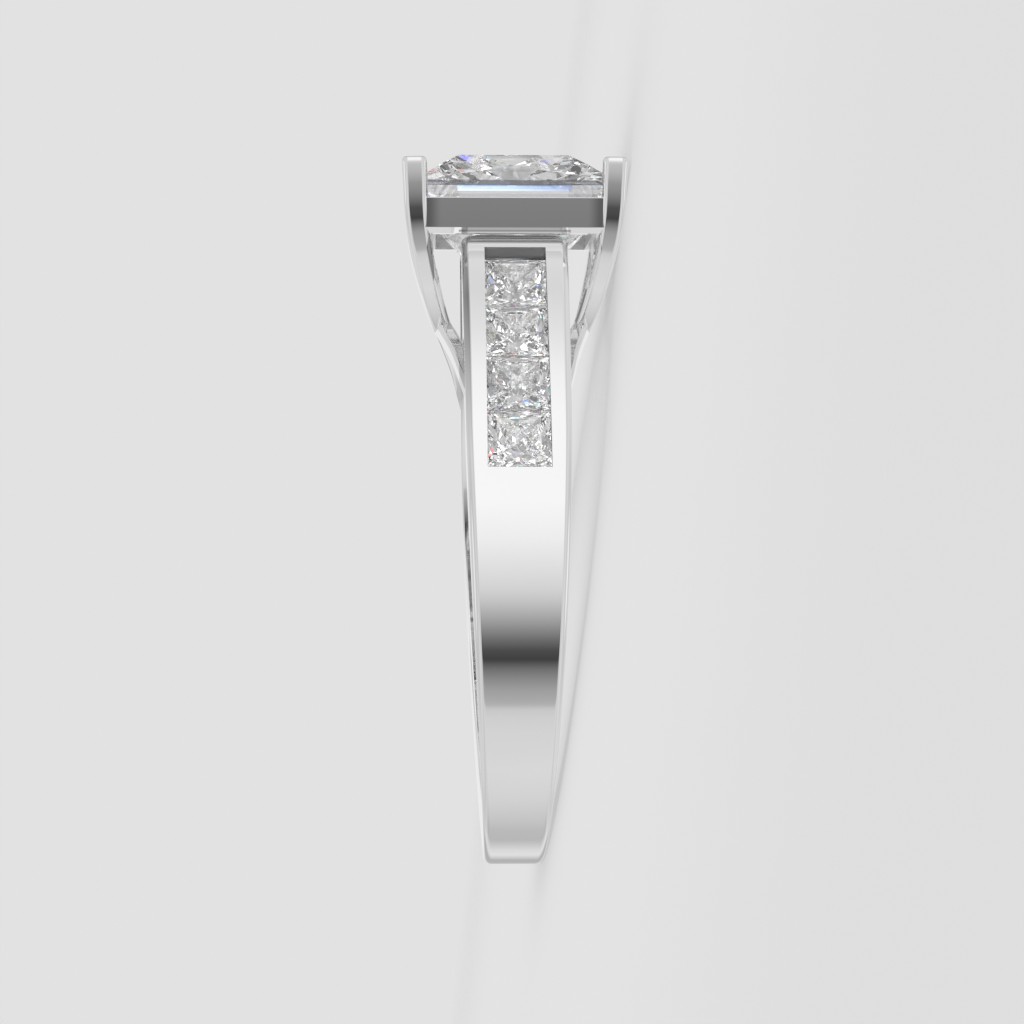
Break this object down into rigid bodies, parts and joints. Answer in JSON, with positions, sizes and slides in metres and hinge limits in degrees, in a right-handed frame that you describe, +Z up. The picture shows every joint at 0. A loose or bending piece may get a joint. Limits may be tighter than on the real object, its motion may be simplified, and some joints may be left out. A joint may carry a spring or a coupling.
{
  "type": "diamond ring",
  "caption": "Princess-cut solitaire ring: tapered white-metal band, channel-set shoulders, gallery rail and trellis prongs, lying on its side.",
  "frame": {"origin": "middle of the ring's footprint on the surface it lies on, at its lowest point", "axes": "+X towards the head and centre stone, +Z up from the surface; the finger's axis leans about 7 degrees from +Z towards -X, because the ring rests on two prongs and the foot of its band"},
  "size_m": [0.0254, 0.02, 0.0079],
  "materials": {
    "metal": "polished",
    "centre_stone": "faceted, polished",
    "side_stones": "faceted, polished"
  },
  "bodies": {
    "root": {"mounting": "metal", "centre_stone": "centre_stone", "front_stone_1": "side_stones", "front_stone_2": "side_stones", "front_stone_3": "side_stones", "front_stone_4": "side_stones", "back_stone_1": "side_stones", "back_stone_2": "side_stones", "back_stone_3": "side_stones", "back_stone_4": "side_stones"}
  },
  "joints": []
}
